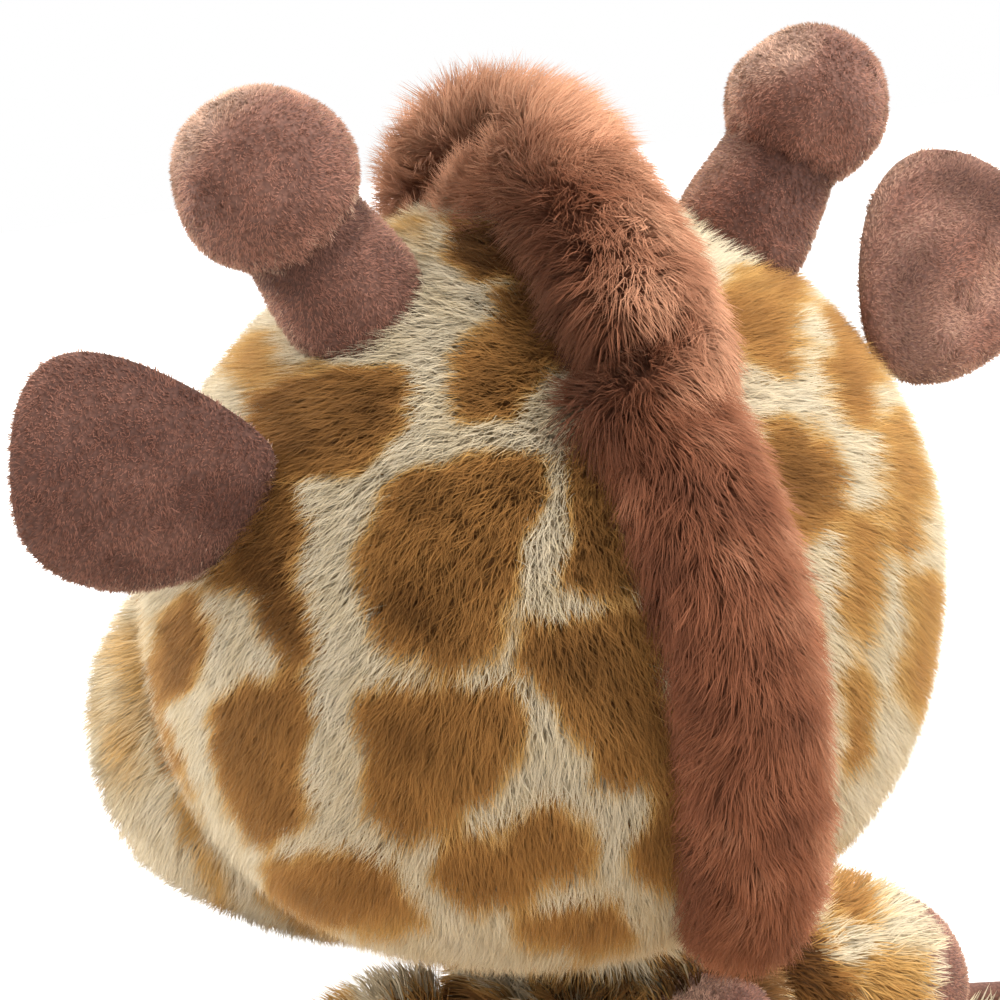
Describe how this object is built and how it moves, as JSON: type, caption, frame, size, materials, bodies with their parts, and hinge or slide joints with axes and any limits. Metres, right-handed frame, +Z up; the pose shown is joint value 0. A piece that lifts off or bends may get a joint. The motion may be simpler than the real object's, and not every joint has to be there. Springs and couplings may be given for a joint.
{
  "type": "giraffe comfort blanket",
  "caption": "Soft baby comforter: a stuffed giraffe head on a short neck with two arms, sewn to the front of a flat two-sided plush blanket.",
  "frame": {"origin": "middle of the blanket's underside, on the surface that it lies on", "axes": "+Z up, -Y the way the giraffe faces, +X the giraffe's own left"},
  "size_m": [0.2494, 0.3173, 0.1586],
  "materials": {
    "spotted_plush": "medium pile plush, cream with tan-brown giraffe patches",
    "long_pile_fur": "long reddish-brown pile, brushed downwards",
    "brown_velour": "short dense velour, reddish brown",
    "fibre_fill": "white polyester fibre filling",
    "dark_thread": "satin-stitched dark brown embroidery thread"
  },
  "bodies": {
    "blanket": {"blanket_lining": "brown_velour", "blanket_top": "spotted_plush", "blanket_piping": "brown_velour", "neck_left_panel": "spotted_plush", "neck_right_panel": "spotted_plush", "neck_back_stripe": "brown_velour", "neck_stuffing": "fibre_fill"},
    "neck_plug": {"neck_plug": "fibre_fill"},
    "head": {"head_left_panel": "spotted_plush", "head_right_panel": "spotted_plush", "head_stuffing": "fibre_fill", "muzzle_cover": "spotted_plush", "muzzle_stuffing": "fibre_fill", "left_eye": "dark_thread", "right_eye": "dark_thread", "left_nostril": "dark_thread", "right_nostril": "dark_thread", "mouth_stitch": "dark_thread", "mane_forelock": "long_pile_fur", "mane_crown": "long_pile_fur", "mane_nape": "long_pile_fur"},
    "left_ossicone": {"left_ossicone_stem": "brown_velour", "left_ossicone_knob": "brown_velour"},
    "left_ear": {"left_ear_back": "brown_velour", "left_ear_front": "brown_velour"},
    "left_arm": {"left_arm_sleeve": "spotted_plush", "left_arm_stuffing": "fibre_fill", "left_hoof": "brown_velour"},
    "right_ossicone": {"right_ossicone_stem": "brown_velour", "right_ossicone_knob": "brown_velour"},
    "right_ear": {"right_ear_back": "brown_velour", "right_ear_front": "brown_velour"},
    "right_arm": {"right_arm_sleeve": "spotted_plush", "right_arm_stuffing": "fibre_fill", "right_hoof": "brown_velour"}
  },
  "joints": [
    {"name": "neck_turn", "type": "hinge", "parent": "blanket", "child": "neck_plug", "pos_m": [0, -0.102, 0.0539], "axis": [0, 0, 1], "range_deg": [-15, 15]},
    {"name": "head_nod", "type": "hinge", "parent": "neck_plug", "child": "head", "pos_m": [0, -0.102, 0.0539], "axis": [1, 0, 0], "range_deg": [-10, 10]},
    {"name": "left_ossicone_sway", "type": "hinge", "parent": "head", "child": "left_ossicone", "pos_m": [0.02755, -0.10413, 0.13673], "axis": [0, 1, 0], "range_deg": [-15, 15], "stiffness_Nm_per_rad": 0.03},
    {"name": "left_ear_flop", "type": "hinge", "parent": "head", "child": "left_ear", "pos_m": [0.0391, -0.09694, 0.11943], "axis": [0.0349, 0, 0.9994], "range_deg": [-20, 20], "stiffness_Nm_per_rad": 0.02},
    {"name": "left_arm_lift", "type": "hinge", "parent": "blanket", "child": "left_arm", "pos_m": [0.02877, -0.102, 0.03275], "axis": [0, -1, 0], "range_deg": [0, 45]},
    {"name": "right_ossicone_sway", "type": "hinge", "parent": "head", "child": "right_ossicone", "pos_m": [-0.02755, -0.10413, 0.13673], "axis": [0, 1, 0], "range_deg": [-15, 15], "stiffness_Nm_per_rad": 0.03},
    {"name": "right_ear_flop", "type": "hinge", "parent": "head", "child": "right_ear", "pos_m": [-0.0391, -0.09694, 0.11943], "axis": [0.342, 0, 0.9397], "range_deg": [-20, 20], "stiffness_Nm_per_rad": 0.02},
    {"name": "right_arm_lift", "type": "hinge", "parent": "blanket", "child": "right_arm", "pos_m": [-0.02877, -0.102, 0.03275], "axis": [0, 1, 0], "range_deg": [0, 45]}
  ]
}
